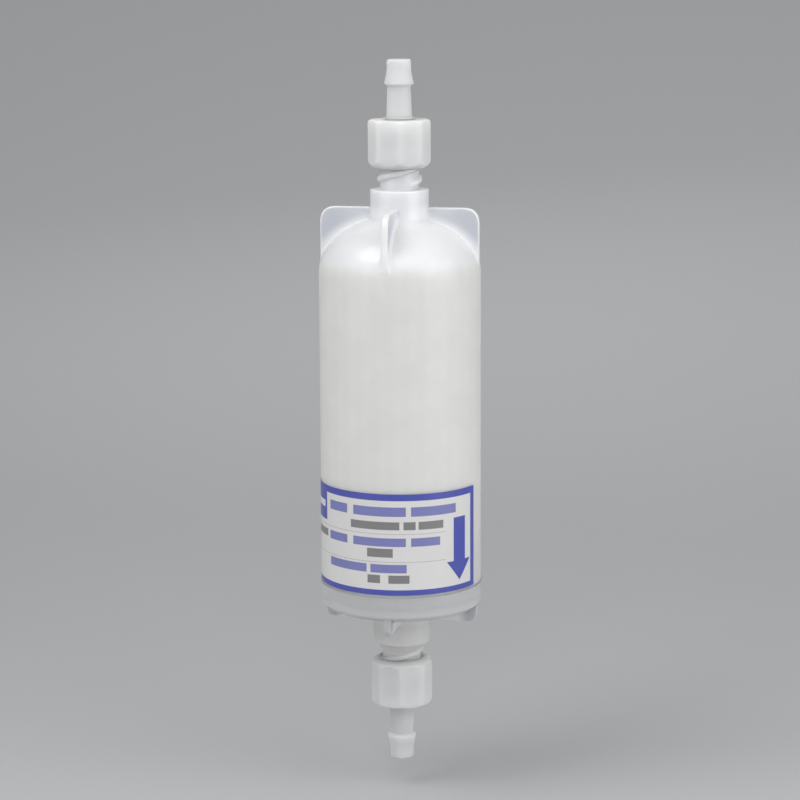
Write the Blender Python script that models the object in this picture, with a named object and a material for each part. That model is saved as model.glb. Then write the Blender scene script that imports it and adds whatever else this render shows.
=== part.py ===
"""In-line capsule filter for ink: finned housing, pleated cartridge, two barbs with lock nuts.

Metres, +Z up along the flow axis. The origin is the tip of the outlet barb, on the axis.
Each port is modelled once in its own frame: height 0 is the collar's face, and height
grows outwards. The inlet port stands at the top, and the outlet port hangs upside down.
"""

import math

import bmesh
import bpy
from mathutils import Matrix, Vector

MM = 0.001
TURN = 2 * math.pi

# Clearances, and how far a cutter runs past what it cuts
JOINT_GAP = 0.3 * MM
SLIP_GAP = 0.25 * MM
TAPER_GAP = 0.15 * MM
RIDGE_CLEARANCE = 0.07 * MM
CUT_OVERSHOOT = 1.0 * MM

# Housing barrel and domed end
HOUSING_RADIUS = 14.1 * MM
WALL = 1.5 * MM
BARREL_LENGTH = 54.9 * MM
DOME_RISE = 9.7 * MM
INLET_COLLAR_RISE = 14.3 * MM
COLLAR_RADIUS = 5.1 * MM
COLLAR_EDGE = 0.25 * MM
DOME_FILLET = 0.9 * MM

# End cap
RING_PROUD = 0.2 * MM
RING_HEIGHT = 3.5 * MM
RING_EDGE = 1.0 * MM
RING_DRAFT = 0.22 * MM
CAP_RISE = 2.6 * MM
OUTLET_COLLAR_DROP = 7.87 * MM
REBATE_DEPTH = 0.7 * MM
REBATE_LENGTH = 2.0 * MM
SOCKET_BOSS_WALL = 1.2 * MM

# Fins
FIN_COUNT = 4
FIN_THICKNESS = 1.1 * MM
FIN_INSET = 0.08 * MM
FIN_SET_BACK = 3.1 * MM
FIN_CORNER = 2.75 * MM
CAP_FIN_DROP = 3.9 * MM
CAP_FIN_DRAFT = 0.5 * MM
CAP_FIN_CORNER = 1.5 * MM

# Taper lock port
PORT_TIP_GAP = 0.38 * MM
NECK_RADIUS = 3.38 * MM
PORT_EDGE = 0.3 * MM
BORE_RADIUS = 1.25 * MM
SOCKET_MOUTH_RADIUS = 2.15 * MM
SOCKET_END_GAP = 0.58 * MM
TAPER_SLOPE = 0.03

# Double-start lock thread
THREAD_STARTS = 2
THREAD_LEAD = 5.0 * MM
THREAD_DEPTH = 0.53 * MM
THREAD_ROOT_WIDTH = 1.15 * MM
THREAD_CREST_WIDTH = 0.6 * MM
THREAD_FIRST_HEIGHT = 0.8 * MM
THREAD_END_GAP = 0.7 * MM
THREAD_RUN_OUT = TURN / 10
THREAD_SINK = 0.25 * MM

# Lock nuts
NUT_SIDES = 8
NUT_CORNER_WALL = 1.42 * MM
NUT_LENGTH = 8.4 * MM
NUT_EDGE = 0.28 * MM
NUT_SHOULDER_INSET = 1.15 * MM
NUT_SHOULDER_RISE = 1.6 * MM
NUT_MOUTH_EDGE = 0.15 * MM
NUT_CLOSED_CHAMFER = 0.45 * MM
NUT_FACE_WALL = 1.1 * MM
NUT_SEAT_GAP = 2.93 * MM
NUT_THREAD_CLEARANCE = 0.2 * MM
NUT_THREAD_DEPTH = 0.55 * MM
NUT_THREAD_ROOT_WIDTH = 1.5 * MM
NUT_THREAD_CREST_WIDTH = 0.8 * MM
NUT_THREAD_FIRST = 1.1 * MM
NUT_THREAD_END_GAP = 0.9 * MM
NUT_THREAD_ANGLE = math.radians(130.6)

# Hose barbs
BARB_REACH = 10.3 * MM
BARB_TIP_RADIUS = 2.08 * MM
BARB_TIP_LENGTH = 1.8 * MM
BARB_RIDGE_RADIUS = 2.55 * MM
BARB_RIDGE_SET_BACK = 4.1 * MM
BARB_RIDGE_STEP = 0.45 * MM
STEM_RADIUS = 2.0 * MM
STEM_DRAFT = 0.2 * MM
FLARE_OVERHANG = 0.18 * MM
FLARE_LENGTH = 0.5 * MM
FLANGE_CLEARANCE = 0.26 * MM
FLANGE_THICKNESS = 0.8 * MM
TAPER_LENGTH = 7.0 * MM
BARB_EDGE = 0.15 * MM

# Cartridge
CARTRIDGE_TOP = 2.1 * MM
CARTRIDGE_CAP_FLOOR = 1.6 * MM
CARTRIDGE_CAP_LIP = 0.5 * MM
CARTRIDGE_CAP_LIP_HEIGHT = 3.0 * MM
CARTRIDGE_CAP_EDGE = 0.4 * MM
CARTRIDGE_CLEARANCE = 0.7 * MM
CENTRING_RIBS = 4
CENTRING_RIB_WIDTH = 1.2 * MM
CENTRING_RIB_HEIGHT = 0.9 * MM
CARTRIDGE_LIFT = 0.6 * MM
CARTRIDGE_NECK_WALL = 1.0 * MM
CARTRIDGE_NECK_GAP = 0.5 * MM
CAGE_WALL = 0.6 * MM
CAGE_COLUMNS = 10
CAGE_ROWS = 5
CORE_RADIUS = 4.6 * MM
CORE_WALL = 0.8 * MM
CORE_COLUMNS = 8
CORE_ROWS = 5
SLOT_RIB = 1.6 * MM
PLEATS = 32
PLEAT_THICKNESS = 0.4 * MM

# Label
LABEL_HEIGHT = 17.8 * MM
LABEL_LIFT = 0.4 * MM
LABEL_THICKNESS = 0.1 * MM
LABEL_GAP = 0.05 * MM
LABEL_WRAP = math.radians(250)
LABEL_CORNER = 0.3 * MM

# Turned positions, as angles from +X
FRONT_ANGLE = math.radians(-79.4)
LABEL_EDGE_ANGLE = FRONT_ANGLE + math.radians(63)
INLET_BACK_OFF = math.radians(46)

# Facets
BODY_SIDES = 44
PORT_SIDES = 28
BARB_SIDES = 24
THREAD_STEPS = 16
DOME_STEPS = 6
CORNER_STEPS = 3
FIN_CORNER_STEPS = 5

# Heights worked out from the sizes above
OUTLET_FACE = BARB_REACH + NUT_LENGTH + NUT_SEAT_GAP
SHOULDER = OUTLET_FACE + OUTLET_COLLAR_DROP
SEAM = SHOULDER + RING_HEIGHT
DOME_START = SEAM + BARREL_LENGTH
INLET_FACE = DOME_START + INLET_COLLAR_RISE
BOWL_END = SEAM - REBATE_LENGTH
CAP_SHELF = BOWL_END - JOINT_GAP
INNER_RADIUS = HOUSING_RADIUS - WALL
INNER_DOME_RISE = DOME_RISE - WALL
REBATE_RADIUS = HOUSING_RADIUS - REBATE_DEPTH
RING_RADIUS = HOUSING_RADIUS + RING_PROUD
CAP_RADIUS = RING_RADIUS - RING_DRAFT

# Radii and lengths that mate
THREAD_CREST_RADIUS = NECK_RADIUS + THREAD_DEPTH
NUT_THREAD_ROOT = THREAD_CREST_RADIUS + NUT_THREAD_CLEARANCE
NUT_CORNER_RADIUS = NUT_THREAD_ROOT + NUT_CORNER_WALL
NUT_CLOSED_HEIGHT = NUT_SEAT_GAP + NUT_LENGTH
FLANGE_RADIUS = NUT_THREAD_ROOT - NUT_THREAD_DEPTH - FLANGE_CLEARANCE
FLANGE_TOP = NUT_CLOSED_HEIGHT - NUT_FACE_WALL - SLIP_GAP
FLANGE_BOTTOM = FLANGE_TOP - FLANGE_THICKNESS
NUT_POCKET_HEIGHT = FLANGE_BOTTOM - NUT_SEAT_GAP - BARB_EDGE
NUT_THREAD_LAST = NUT_POCKET_HEIGHT - NUT_THREAD_END_GAP
NUT_HOLE_RADIUS = BARB_RIDGE_RADIUS + RIDGE_CLEARANCE
HUB_RADIUS = NUT_HOLE_RADIUS - SLIP_GAP
FLARE_RADIUS = NUT_HOLE_RADIUS + FLARE_OVERHANG
PORT_LENGTH = FLANGE_BOTTOM - PORT_TIP_GAP
TAPER_END = FLANGE_BOTTOM - TAPER_LENGTH
SOCKET_FLOOR = TAPER_END - SOCKET_END_GAP

# Cartridge places
CARTRIDGE_RADIUS = INNER_RADIUS - CARTRIDGE_CLEARANCE
CAGE_RADIUS = CARTRIDGE_RADIUS - CARTRIDGE_CAP_LIP - JOINT_GAP
PLEAT_OUTER = CAGE_RADIUS - CAGE_WALL - JOINT_GAP
PLEAT_INNER = CORE_RADIUS + JOINT_GAP
TOP_CAP_FACE = DOME_START + CARTRIDGE_TOP
BOTTOM_CAP_FACE = CAP_SHELF + CARTRIDGE_LIFT
MEDIA_TOP = TOP_CAP_FACE - CARTRIDGE_CAP_FLOOR - JOINT_GAP
MEDIA_BOTTOM = BOTTOM_CAP_FACE + CARTRIDGE_CAP_FLOOR + JOINT_GAP
SOCKET_BOSS_INNER = CORE_RADIUS + JOINT_GAP
SOCKET_BOSS_OUTER = SOCKET_BOSS_INNER + SOCKET_BOSS_WALL
SOCKET_BOSS_TOP = BOTTOM_CAP_FACE - JOINT_GAP
CAP_FLOOR = CAP_SHELF - CAP_RISE * math.sqrt(1 - (SOCKET_BOSS_OUTER / INNER_RADIUS) ** 2)


def clear_scene():
    for item in list(bpy.data.objects):
        bpy.data.objects.remove(item, do_unlink=True)


def plastic(name, colour, roughness, alpha=1.0):
    material = bpy.data.materials.new(name)
    material.use_nodes = True
    shader = material.node_tree.nodes["Principled BSDF"]
    shader.inputs["Base Color"].default_value = (*colour, 1.0)
    shader.inputs["Roughness"].default_value = roughness
    shader.inputs["Metallic"].default_value = 0.0
    shader.inputs["Alpha"].default_value = alpha
    material.diffuse_color = (*colour, alpha)
    return material


def finish_mesh(name, mesh_data, sharp_degrees=30):
    bmesh.ops.recalc_face_normals(mesh_data, faces=mesh_data.faces)
    mesh = bpy.data.meshes.new(name)
    mesh_data.to_mesh(mesh)
    mesh_data.free()
    mesh.shade_smooth()
    mesh.set_sharp_from_angle(angle=math.radians(sharp_degrees))
    return mesh


def place(name, mesh, material=None, parent=None):
    item = bpy.data.objects.new(name, mesh)
    bpy.context.scene.collection.objects.link(item)
    item.parent = parent
    if material:
        item.data.materials.append(material)
    return item


def tool(name, mesh, parent=None):
    """A shape that is only used in a Boolean, never shown."""
    item = place(name, mesh, parent=parent)
    item.display_type = "WIRE"
    item.hide_render = True
    return item


def boolean(target, shape, operation):
    step = target.modifiers.new(shape.name, "BOOLEAN")
    step.operation = operation
    step.solver = "EXACT"
    step.object = shape


def turned(name, outline, sides):
    """The outline, closed points of (radius, height), turned about Z."""
    mesh_data = bmesh.new()
    corners = [mesh_data.verts.new((radius, 0, height)) for radius, height in outline]
    edges = []
    for corner, following in zip(corners, corners[1:] + corners[:1]):
        if corner.co.x > 0 or following.co.x > 0:
            edges.append(mesh_data.edges.new((corner, following)))
    bmesh.ops.spin(mesh_data, geom=corners + edges, cent=(0, 0, 0), axis=(0, 0, 1),
                   angle=TURN, steps=sides, use_merge=True)
    bmesh.ops.remove_doubles(mesh_data, verts=mesh_data.verts, dist=1e-7)
    return finish_mesh(name, mesh_data)


def join_rings(mesh_data, rings):
    """Sides between each ring of corners and the next, and a face over both ends."""
    for ring, following in zip(rings, rings[1:]):
        for k, corner in enumerate(ring):
            beside = (k + 1) % len(ring)
            mesh_data.faces.new((corner, ring[beside], following[beside], following[k]))
    mesh_data.faces.new(rings[0])
    mesh_data.faces.new(rings[-1])


def round_axis(radius, angle, height):
    return Vector((radius * math.cos(angle), radius * math.sin(angle), height))


def ellipse_points(radius, rise, base, inner, steps, outwards=False):
    """Points of a quarter ellipse, from its widest place in to the inner radius."""
    last = math.acos(inner / radius)
    angles = [last * i / steps for i in range(steps + 1)]
    points = [(radius * math.cos(a), base + rise * math.sin(a)) for a in angles]
    return points[::-1] if outwards else points


def rounded(start, corner, end, steps=CORNER_STEPS):
    """A smooth bend from start to end, pulled towards the corner."""
    points = []
    for i in range(steps + 1):
        t = i / steps
        weights = ((1 - t) ** 2, 2 * t * (1 - t), t ** 2)
        points.append(tuple(sum(w * p[k] for w, p in zip(weights, (start, corner, end)))
                            for k in (0, 1)))
    return points


def collar_outline(dome, face, outward):
    """The dome, then a fillet and the collar up to the edge of its face."""
    root = dome[-1][1]
    fillet = rounded(dome[-1], (COLLAR_RADIUS, root),
                     (COLLAR_RADIUS, root + outward * DOME_FILLET))
    return dome[:-1] + fillet + [(COLLAR_RADIUS, face - outward * COLLAR_EDGE),
                                 (COLLAR_RADIUS - COLLAR_EDGE, face)]


def socket_radius(height):
    return SOCKET_MOUTH_RADIUS - TAPER_SLOPE * (PORT_LENGTH - height)


def port_outline(face, outward):
    """The neck, the taper socket and the mouth of the bore."""
    points = [
        (NECK_RADIUS, 0),
        (NECK_RADIUS, PORT_LENGTH - PORT_EDGE),
        (NECK_RADIUS - PORT_EDGE, PORT_LENGTH),
        (SOCKET_MOUTH_RADIUS, PORT_LENGTH),
        (socket_radius(SOCKET_FLOOR), SOCKET_FLOOR),
        (BORE_RADIUS, SOCKET_FLOOR),
    ]
    return [(radius, face + outward * height) for radius, height in points]


def thread_ridges(name, root, depth, widths, first, last, angle):
    """Helical ridges on a root radius; a negative depth points them inwards."""
    root_width, crest_width = widths
    flank = (root_width - crest_width) / abs(depth)
    sink = math.copysign(THREAD_SINK, depth)
    sweep = TURN * (last - first) / THREAD_LEAD
    steps = math.ceil(sweep / TURN * THREAD_STEPS)
    mesh_data = bmesh.new()
    for start in range(THREAD_STARTS):
        rings = []
        for i in range(steps + 1):
            swept = sweep * i / steps
            height = first + THREAD_LEAD * swept / TURN
            turn = angle + TURN * (start / THREAD_STARTS + height / THREAD_LEAD)
            rise = depth * min(1, swept / THREAD_RUN_OUT, (sweep - swept) / THREAD_RUN_OUT)
            base = (root_width + flank * THREAD_SINK) / 2
            crest = (root_width - flank * abs(rise)) / 2
            section = [(root - sink, -base), (root + rise, -crest),
                       (root + rise, crest), (root - sink, base)]
            rings.append([mesh_data.verts.new(round_axis(radius, turn, height + offset))
                          for radius, offset in section])
        join_rings(mesh_data, rings)
    return finish_mesh(name, mesh_data)


def radial_plates(outline, count, thickness, name):
    """A flat outline of (radius, height), given a thickness and repeated round Z."""
    mesh_data = bmesh.new()
    for i in range(count):
        turn = Matrix.Rotation(TURN * i / count, 3, "Z")
        faces = [[mesh_data.verts.new(turn @ Vector((radius, side, height)))
                  for radius, height in outline]
                 for side in (-thickness / 2, thickness / 2)]
        join_rings(mesh_data, faces)
    return tool(name, finish_mesh(name, mesh_data))


def port_thread(name, nut_angle, parent):
    """The port's ridges, which run half way between those of a seated nut."""
    angle = (nut_angle + NUT_THREAD_ANGLE + TURN / (2 * THREAD_STARTS)
             - TURN * NUT_SEAT_GAP / THREAD_LEAD)
    mesh = thread_ridges(name, NECK_RADIUS, THREAD_DEPTH,
                         (THREAD_ROOT_WIDTH, THREAD_CREST_WIDTH),
                         THREAD_FIRST_HEIGHT, PORT_LENGTH - THREAD_END_GAP, angle)
    return tool(name, mesh, parent)


def bowl_fins():
    """Top fins: their inner edge lies inside the shell, and the outer corner is round."""
    top = INLET_FACE - FIN_SET_BACK
    edge = HOUSING_RADIUS - FIN_INSET
    inner = COLLAR_RADIUS - WALL / 2
    middle = ellipse_points(HOUSING_RADIUS - WALL / 2, DOME_RISE - WALL / 2, DOME_START,
                            inner, DOME_STEPS)
    outline = [(inner, top)]
    outline += rounded((edge - FIN_CORNER, top), (edge, top), (edge, top - FIN_CORNER),
                       FIN_CORNER_STEPS)
    outline += [(edge, DOME_START - WALL), (HOUSING_RADIUS - WALL / 2, DOME_START - WALL)]
    return radial_plates(outline + middle, FIN_COUNT, FIN_THICKNESS, "bowl_fins")


def cap_fins():
    """Bottom fins: drawn in a little towards their lower corner."""
    low = SHOULDER - CAP_FIN_DROP
    edge = CAP_RADIUS - FIN_INSET
    tip = edge - CAP_FIN_DRAFT
    inner = COLLAR_RADIUS - WALL / 2
    middle = ellipse_points(CAP_RADIUS - WALL / 2, -CAP_RISE, SHOULDER + WALL / 2, inner,
                            DOME_STEPS)
    outline = [(inner, low)]
    outline += rounded((tip - CAP_FIN_CORNER, low), (tip, low), (tip, low + CAP_FIN_CORNER))
    outline += [(edge, SHOULDER + WALL / 2)]
    return radial_plates(outline + middle, FIN_COUNT, FIN_THICKNESS, "cap_fins")


def housing_bowl(material, inlet):
    dome = ellipse_points(HOUSING_RADIUS, DOME_RISE, DOME_START,
                          COLLAR_RADIUS + DOME_FILLET, DOME_STEPS)
    inside = ellipse_points(INNER_RADIUS, INNER_DOME_RISE, DOME_START, BORE_RADIUS,
                            DOME_STEPS, outwards=True)
    outline = [(REBATE_RADIUS, BOWL_END), (REBATE_RADIUS, SEAM + JOINT_GAP),
               (HOUSING_RADIUS, SEAM + JOINT_GAP)]
    outline += collar_outline(dome, INLET_FACE, 1) + port_outline(INLET_FACE, 1)
    outline += inside + [(INNER_RADIUS, BOWL_END)]
    bowl = place("housing_bowl", turned("housing_bowl", outline, BODY_SIDES), material)
    boolean(bowl, bowl_fins(), "UNION")
    boolean(bowl, port_thread("inlet_thread", FRONT_ANGLE - INLET_BACK_OFF, inlet), "UNION")
    return bowl


def end_cap(material, outlet):
    ring = rounded((HOUSING_RADIUS, SEAM), (RING_RADIUS, SEAM), (RING_RADIUS, SEAM - RING_EDGE))
    dome = ellipse_points(CAP_RADIUS, -CAP_RISE, SHOULDER, COLLAR_RADIUS + DOME_FILLET,
                          DOME_STEPS)
    floor = ellipse_points(INNER_RADIUS, -CAP_RISE, CAP_SHELF, SOCKET_BOSS_OUTER,
                           CORNER_STEPS, outwards=True)
    outline = ring + collar_outline(dome, OUTLET_FACE, -1) + port_outline(OUTLET_FACE, -1)
    outline += [(BORE_RADIUS, CAP_FLOOR), (SOCKET_BOSS_INNER, CAP_FLOOR),
                (SOCKET_BOSS_INNER, SOCKET_BOSS_TOP), (SOCKET_BOSS_OUTER, SOCKET_BOSS_TOP)]
    outline += floor
    outline += [(REBATE_RADIUS + JOINT_GAP, CAP_SHELF), (REBATE_RADIUS + JOINT_GAP, SEAM)]
    cap = place("end_cap", turned("end_cap", outline, BODY_SIDES), material)
    boolean(cap, cap_fins(), "UNION")
    boolean(cap, port_thread("outlet_thread", -FRONT_ANGLE, outlet), "UNION")
    return cap


def nut_prism():
    mesh_data = bmesh.new()
    rings = [[mesh_data.verts.new(round_axis(NUT_CORNER_RADIUS, TURN * i / NUT_SIDES, height))
              for i in range(NUT_SIDES)] for height in (0, NUT_LENGTH)]
    join_rings(mesh_data, rings)
    corners = [edge for edge in mesh_data.edges
               if abs(edge.verts[0].co.z - edge.verts[1].co.z) > NUT_LENGTH / 2]
    bmesh.ops.bevel(mesh_data, geom=corners, offset=NUT_EDGE, offset_type="OFFSET",
                    segments=2, profile=0.5, affect="EDGES")
    return finish_mesh("nut_prism", mesh_data)


def nut_envelope():
    """The turned shape that rounds the prism's open end and chamfers its closed end."""
    wide = NUT_CORNER_RADIUS + CUT_OVERSHOOT
    outline = [(0, 0)]
    outline += rounded((NUT_CORNER_RADIUS - NUT_SHOULDER_INSET, 0),
                       (NUT_CORNER_RADIUS - NUT_SHOULDER_INSET / 4, NUT_SHOULDER_RISE / 4),
                       (NUT_CORNER_RADIUS, NUT_SHOULDER_RISE))
    outline += [
        (wide, NUT_SHOULDER_RISE + CUT_OVERSHOOT),
        (wide, NUT_LENGTH - NUT_CLOSED_CHAMFER - CUT_OVERSHOOT),
        (NUT_CORNER_RADIUS - NUT_CLOSED_CHAMFER, NUT_LENGTH),
        (0, NUT_LENGTH),
    ]
    return turned("nut_envelope", outline, PORT_SIDES)


def nut_bore():
    """The thread's root bore, the flange's pocket and the hole for the barb."""
    pocket = FLANGE_RADIUS + SLIP_GAP
    inner_face = NUT_LENGTH - NUT_FACE_WALL
    outline = [
        (0, -CUT_OVERSHOOT),
        (NUT_THREAD_ROOT + NUT_MOUTH_EDGE, -CUT_OVERSHOOT),
        (NUT_THREAD_ROOT + NUT_MOUTH_EDGE, 0),
        (NUT_THREAD_ROOT, NUT_MOUTH_EDGE),
        (NUT_THREAD_ROOT, NUT_POCKET_HEIGHT),
        (pocket, NUT_POCKET_HEIGHT),
        (pocket, inner_face),
        (NUT_HOLE_RADIUS, inner_face),
        (NUT_HOLE_RADIUS, NUT_LENGTH + CUT_OVERSHOOT),
        (0, NUT_LENGTH + CUT_OVERSHOOT),
    ]
    return turned("nut_bore", outline, PORT_SIDES)


def lock_nut(name, material, barb, angle):
    nut = place(name, nut_prism(), material, barb)
    nut.location.z = NUT_SEAT_GAP
    nut.rotation_euler.z = angle
    ridges = thread_ridges(name + "_thread", NUT_THREAD_ROOT, -NUT_THREAD_DEPTH,
                           (NUT_THREAD_ROOT_WIDTH, NUT_THREAD_CREST_WIDTH),
                           NUT_THREAD_FIRST, NUT_THREAD_LAST, NUT_THREAD_ANGLE)
    boolean(nut, tool(name + "_envelope", nut_envelope(), nut), "INTERSECT")
    boolean(nut, tool(name + "_bore", nut_bore(), nut), "DIFFERENCE")
    boolean(nut, tool(name + "_thread", ridges, nut), "UNION")
    return nut


def hose_barb(name, material, port, travel):
    """Taper, flange, hub, flare, stem and ridge, turned as one with a bore through it."""
    tip = NUT_CLOSED_HEIGHT + BARB_REACH
    flare = NUT_CLOSED_HEIGHT + SLIP_GAP
    ridge = tip - BARB_RIDGE_SET_BACK
    stem_root = STEM_RADIUS + STEM_DRAFT
    outline = [
        (BORE_RADIUS, TAPER_END),
        (socket_radius(TAPER_END) - TAPER_GAP - BARB_EDGE, TAPER_END),
        (socket_radius(TAPER_END) - TAPER_GAP, TAPER_END + BARB_EDGE),
        (socket_radius(FLANGE_BOTTOM) - TAPER_GAP, FLANGE_BOTTOM),
        (FLANGE_RADIUS, FLANGE_BOTTOM),
        (FLANGE_RADIUS, FLANGE_TOP),
        (HUB_RADIUS, FLANGE_TOP),
        (HUB_RADIUS, flare),
    ]
    outline += rounded((FLARE_RADIUS, flare), (stem_root, flare + BARB_EDGE),
                       (stem_root, flare + FLARE_LENGTH))
    outline += [
        (STEM_RADIUS, ridge - BARB_RIDGE_STEP),
        (BARB_RIDGE_RADIUS, ridge),
        (BARB_TIP_RADIUS, tip - BARB_TIP_LENGTH),
        (BARB_TIP_RADIUS - BARB_EDGE / 2, tip - BARB_EDGE),
        (BARB_TIP_RADIUS - BARB_EDGE, tip),
        (BORE_RADIUS, tip),
    ]
    barb = place(name, turned(name, outline, BARB_SIDES), material, port)
    barb.location.z = travel
    return barb


def fitting(side, material, port, back_off, angle):
    """A barb and its nut, backed off from the seat by a part of a turn."""
    barb = hose_barb(side + "_barb", material, port, THREAD_LEAD * back_off / TURN)
    lock_nut(side + "_nut", material, barb, angle)


def cartridge_top_cap(material):
    lip_end = TOP_CAP_FACE - CARTRIDGE_CAP_LIP_HEIGHT
    floor = TOP_CAP_FACE - CARTRIDGE_CAP_FLOOR
    outline = [
        (0, floor),
        (CARTRIDGE_RADIUS - CARTRIDGE_CAP_LIP, floor),
        (CARTRIDGE_RADIUS - CARTRIDGE_CAP_LIP, lip_end),
        (CARTRIDGE_RADIUS, lip_end),
        (CARTRIDGE_RADIUS, TOP_CAP_FACE - CARTRIDGE_CAP_EDGE),
        (CARTRIDGE_RADIUS - CARTRIDGE_CAP_EDGE, TOP_CAP_FACE),
        (0, TOP_CAP_FACE),
    ]
    cap = place("cartridge_top_cap", turned("cartridge_top_cap", outline, PORT_SIDES), material)
    inner = CARTRIDGE_RADIUS - CARTRIDGE_CAP_LIP / 2
    outer = INNER_RADIUS - JOINT_GAP
    rib_end = lip_end + CENTRING_RIB_HEIGHT
    rib = [(inner, lip_end), (outer, lip_end), (outer, rib_end), (inner, rib_end)]
    boolean(cap, radial_plates(rib, CENTRING_RIBS, CENTRING_RIB_WIDTH, "top_cap_ribs"), "UNION")


def cartridge_bottom_cap(material):
    neck_inner = CORE_RADIUS - CARTRIDGE_NECK_WALL
    neck_end = CAP_FLOOR + CARTRIDGE_NECK_GAP
    lip_end = BOTTOM_CAP_FACE + CARTRIDGE_CAP_LIP_HEIGHT
    floor = BOTTOM_CAP_FACE + CARTRIDGE_CAP_FLOOR
    outline = [
        (neck_inner, neck_end),
        (CORE_RADIUS, neck_end),
        (CORE_RADIUS, BOTTOM_CAP_FACE),
        (CARTRIDGE_RADIUS - CARTRIDGE_CAP_EDGE, BOTTOM_CAP_FACE),
        (CARTRIDGE_RADIUS, BOTTOM_CAP_FACE + CARTRIDGE_CAP_EDGE),
        (CARTRIDGE_RADIUS, lip_end),
        (CARTRIDGE_RADIUS - CARTRIDGE_CAP_LIP, lip_end),
        (CARTRIDGE_RADIUS - CARTRIDGE_CAP_LIP, floor),
        (neck_inner, floor),
    ]
    place("cartridge_bottom_cap", turned("cartridge_bottom_cap", outline, PORT_SIDES), material)


def slotted_tube(name, material, radius, wall, columns, rows):
    """A tube of slots: a curved grid with every other cell open, then thickened inwards."""
    slot = (MEDIA_TOP - MEDIA_BOTTOM - SLOT_RIB * (rows + 1)) / rows
    levels = [MEDIA_BOTTOM]
    for i in range(2 * rows + 1):
        levels.append(levels[-1] + (slot if i % 2 else SLOT_RIB))
    mesh_data = bmesh.new()
    rings = [[mesh_data.verts.new(round_axis(radius, TURN * k / (2 * columns), height))
              for k in range(2 * columns)] for height in levels]
    for i, (ring, above) in enumerate(zip(rings, rings[1:])):
        for k in range(2 * columns):
            is_slot = i % 2 == 1 and k % 2 == 1
            if not is_slot:
                beside = (k + 1) % (2 * columns)
                mesh_data.faces.new((ring[k], ring[beside], above[beside], above[k]))
    tube = place(name, finish_mesh(name, mesh_data), material)
    thicken = tube.modifiers.new("wall", "SOLIDIFY")
    thicken.thickness = wall
    thicken.offset = -1
    thicken.use_even_offset = True


def pleated_media(material):
    """A closed band of pleats: outer and inner outlines, joined over both ends."""
    outer_wall = PLEAT_OUTER - PLEAT_THICKNESS
    inner_wall = PLEAT_INNER + PLEAT_THICKNESS
    outer_half = PLEAT_THICKNESS / PLEAT_OUTER
    inner_half = PLEAT_THICKNESS / 2 / PLEAT_INNER
    mesh_data = bmesh.new()
    sections = []
    for height in (MEDIA_BOTTOM, MEDIA_TOP):
        outer, inner = [], []
        for i in range(PLEATS):
            fold = TURN * i / PLEATS
            valley = fold + TURN / PLEATS / 2
            outer += [(PLEAT_OUTER, fold - outer_half), (PLEAT_OUTER, fold + outer_half),
                      (inner_wall, valley)]
            inner += [(outer_wall, fold), (PLEAT_INNER, valley - inner_half),
                      (PLEAT_INNER, valley + inner_half)]
        sections.append([[mesh_data.verts.new(round_axis(radius, angle, height))
                          for radius, angle in side] for side in (outer, inner)])
    (outer_low, inner_low), (outer_high, inner_high) = sections
    for low, high in ((outer_low, outer_high), (inner_low, inner_high)):
        for k in range(len(low)):
            beside = (k + 1) % len(low)
            mesh_data.faces.new((low[k], low[beside], high[beside], high[k]))
    for outer, inner in sections:
        for k in range(0, len(outer), 3):
            following = (k + 3) % len(outer)
            mesh_data.faces.new((outer[k], outer[k + 1], inner[k]))
            mesh_data.faces.new((outer[k + 1], outer[k + 2], inner[k + 1], inner[k]))
            mesh_data.faces.new((outer[k + 2], inner[k + 2], inner[k + 1]))
            mesh_data.faces.new((outer[k + 2], outer[following], inner[following], inner[k + 2]))
    place("pleated_media", finish_mesh("pleated_media", mesh_data), material)


def label(material):
    """A film bent round the barrel, with rounded corners."""
    inner = HOUSING_RADIUS + LABEL_GAP
    outer = inner + LABEL_THICKNESS
    low = SEAM + LABEL_LIFT
    high = low + LABEL_HEIGHT
    first = LABEL_EDGE_ANGLE - LABEL_WRAP
    corner_angles = [TURN / 4 * i / CORNER_STEPS for i in range(CORNER_STEPS + 1)]
    corners = [(LABEL_CORNER * (1 - math.cos(a)) / inner, LABEL_CORNER * (1 - math.sin(a)))
               for a in corner_angles]
    span = LABEL_WRAP - 2 * LABEL_CORNER / inner
    steps = math.ceil(span / TURN * BODY_SIDES)
    straight = first + LABEL_CORNER / inner
    columns = [(first + offset, inset) for offset, inset in corners]
    columns += [(straight + span * i / steps, 0) for i in range(1, steps)]
    columns += [(LABEL_EDGE_ANGLE - offset, inset) for offset, inset in reversed(corners)]
    mesh_data = bmesh.new()
    rings = [[mesh_data.verts.new(round_axis(radius, angle, height))
              for radius, height in ((inner, low + inset), (outer, low + inset),
                                     (outer, high - inset), (inner, high - inset))]
             for angle, inset in columns]
    join_rings(mesh_data, rings)
    place("label", finish_mesh("label", mesh_data), material)


def port_frame(name, height, turn):
    frame = place(name, None)
    frame.location.z = height
    frame.rotation_euler.x = turn
    return frame


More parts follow.
